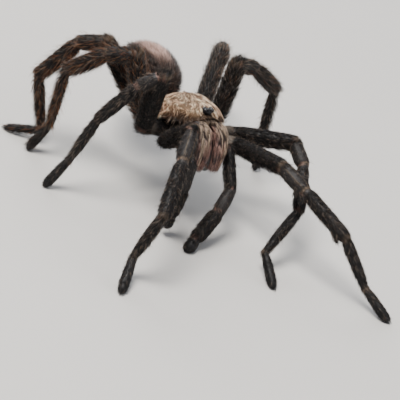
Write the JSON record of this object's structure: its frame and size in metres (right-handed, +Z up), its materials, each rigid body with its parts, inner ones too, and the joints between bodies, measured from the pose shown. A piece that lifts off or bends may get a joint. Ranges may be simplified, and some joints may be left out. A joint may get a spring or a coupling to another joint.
{
  "type": "tarantula",
  "caption": "Still, life-size male tarantula with a tan shell, dark hairy legs and feelers, standing on the floor with its front legs reaching out.",
  "frame": {"origin": "on the floor under the middle of the bounding box", "axes": "+Z up; -Y the way the head points; +X towards the animal's left side"},
  "size_m": [0.0648, 0.0966, 0.0354],
  "materials": {
    "carapace": "short, flat pinkish-tan hair over a hard shell",
    "underside": "short dark brown hair",
    "abdomen_coat": "long brown hair, pinkish above",
    "tubercle": "dark and smooth",
    "jaw_coat": "long combed cream hair over dark maroon",
    "horn": "polished black horn",
    "eye": "glossy black",
    "leg_coat": "dark brown hair with pale bald stripes"
  },
  "bodies": {
    "root": {"carapace": "carapace", "trunk": "underside", "abdomen": "abdomen_coat", "eye_tubercle": "tubercle", "chelicera_left": "jaw_coat", "fang_left": "horn", "spinneret_left": "abdomen_coat", "eyes_left": "eye", "chelicera_right": "jaw_coat", "fang_right": "horn", "spinneret_right": "abdomen_coat", "eyes_right": "eye", "leg_left_1_femur": "leg_coat", "leg_left_1_patella": "leg_coat", "leg_left_1_tibia": "leg_coat", "leg_left_1_metatarsus": "leg_coat", "leg_left_1_tarsus": "leg_coat", "leg_left_2_femur": "leg_coat", "leg_left_2_patella": "leg_coat", "leg_left_2_tibia": "leg_coat", "leg_left_2_metatarsus": "leg_coat", "leg_left_2_tarsus": "leg_coat", "leg_left_3_femur": "leg_coat", "leg_left_3_patella": "leg_coat", "leg_left_3_tibia": "leg_coat", "leg_left_3_metatarsus": "leg_coat", "leg_left_3_tarsus": "leg_coat", "leg_left_4_femur": "leg_coat", "leg_left_4_patella": "leg_coat", "leg_left_4_tibia": "leg_coat", "leg_left_4_metatarsus": "leg_coat", "leg_left_4_tarsus": "leg_coat", "leg_right_1_femur": "leg_coat", "leg_right_1_patella": "leg_coat", "leg_right_1_tibia": "leg_coat", "leg_right_1_metatarsus": "leg_coat", "leg_right_1_tarsus": "leg_coat", "leg_right_2_femur": "leg_coat", "leg_right_2_patella": "leg_coat", "leg_right_2_tibia": "leg_coat", "leg_right_2_metatarsus": "leg_coat", "leg_right_2_tarsus": "leg_coat", "leg_right_3_femur": "leg_coat", "leg_right_3_patella": "leg_coat", "leg_right_3_tibia": "leg_coat", "leg_right_3_metatarsus": "leg_coat", "leg_right_3_tarsus": "leg_coat", "leg_right_4_femur": "leg_coat", "leg_right_4_patella": "leg_coat", "leg_right_4_tibia": "leg_coat", "leg_right_4_metatarsus": "leg_coat", "leg_right_4_tarsus": "leg_coat", "palp_left_femur": "leg_coat", "palp_left_patella": "leg_coat", "palp_left_tibia": "leg_coat", "palp_left_tarsus": "leg_coat", "palp_right_femur": "leg_coat", "palp_right_patella": "leg_coat", "palp_right_tibia": "leg_coat", "palp_right_tarsus": "leg_coat"}
  },
  "joints": []
}
